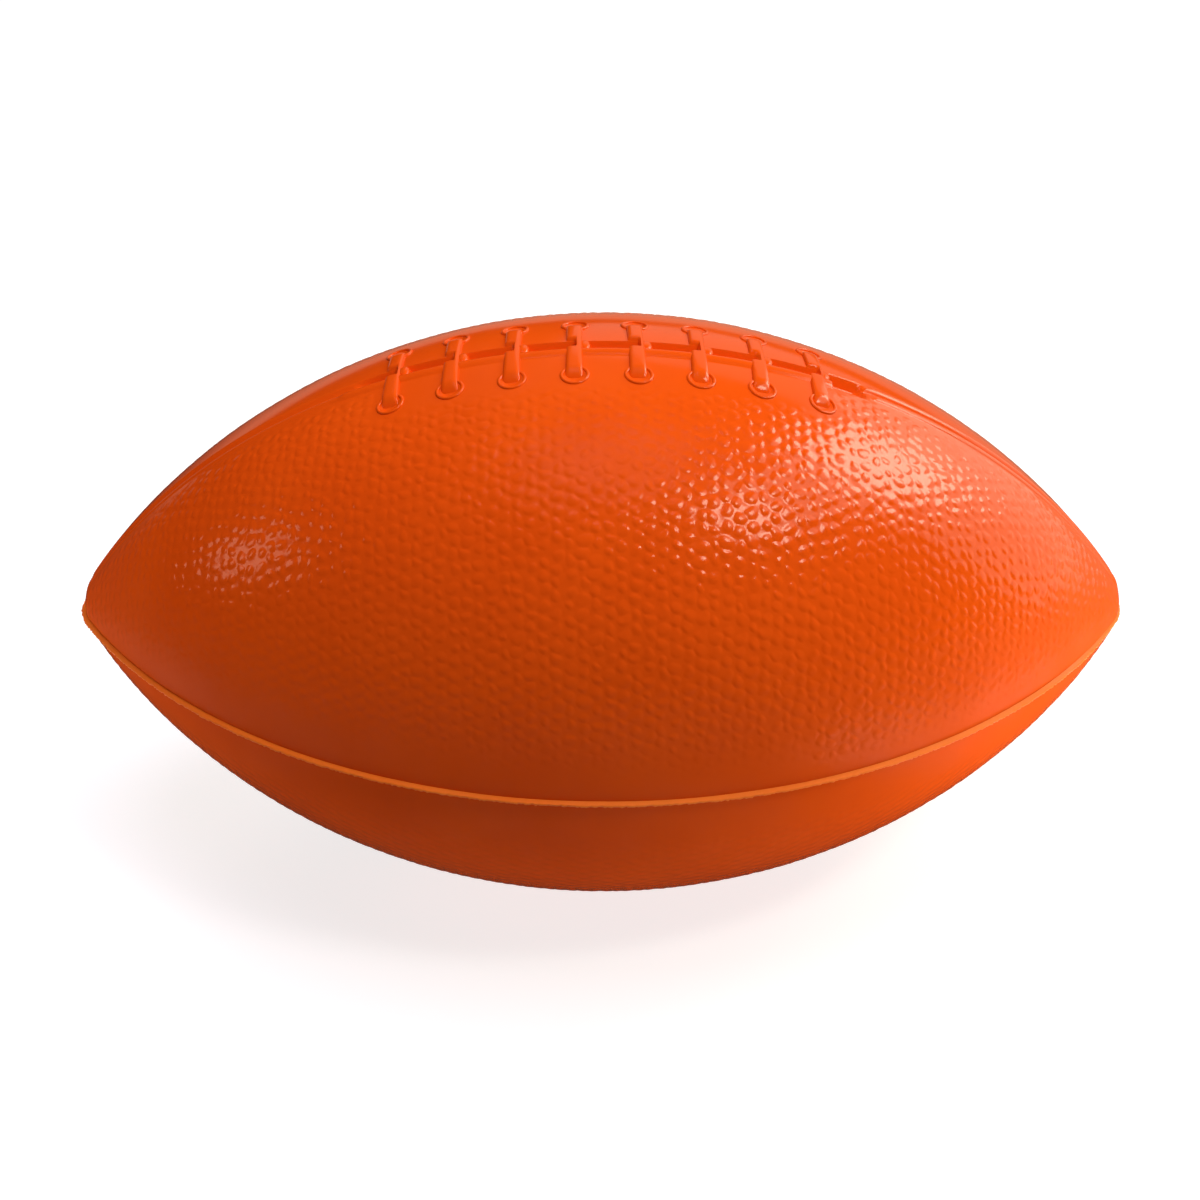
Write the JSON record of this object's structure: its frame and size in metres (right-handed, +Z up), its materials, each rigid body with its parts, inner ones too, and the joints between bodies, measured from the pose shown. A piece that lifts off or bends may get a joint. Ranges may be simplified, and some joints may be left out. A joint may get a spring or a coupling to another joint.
{
  "type": "toy american football",
  "caption": "Small american football moulded in glossy plastic, with moulded laces and panel seams, a weld bead round its long plane and a pull-out stopper valve.",
  "frame": {"origin": "on the ground under the middle of the ball, in the plane of the contact flat", "axes": "+X along the ball's long axis, +Z up through the laces, +Y to the rear, where the valve is"},
  "size_m": [0.1782, 0.0992, 0.0981],
  "materials": {
    "shell": "glossy orange moulded plastic with a round pebble grain",
    "bead": "satin orange plastic with a trimmed edge",
    "valve": "soft satin orange plastic"
  },
  "bodies": {
    "ball": {"laced_half": "shell", "plain_half": "shell", "weld_bead": "bead", "valve_bush": "valve"},
    "stopper": {"valve_plug": "valve"}
  },
  "joints": [
    {"name": "plug_pull", "type": "slide", "parent": "ball", "child": "stopper", "axis": [0, 0.7071, -0.7071], "range_m": [0, 0.012]}
  ]
}
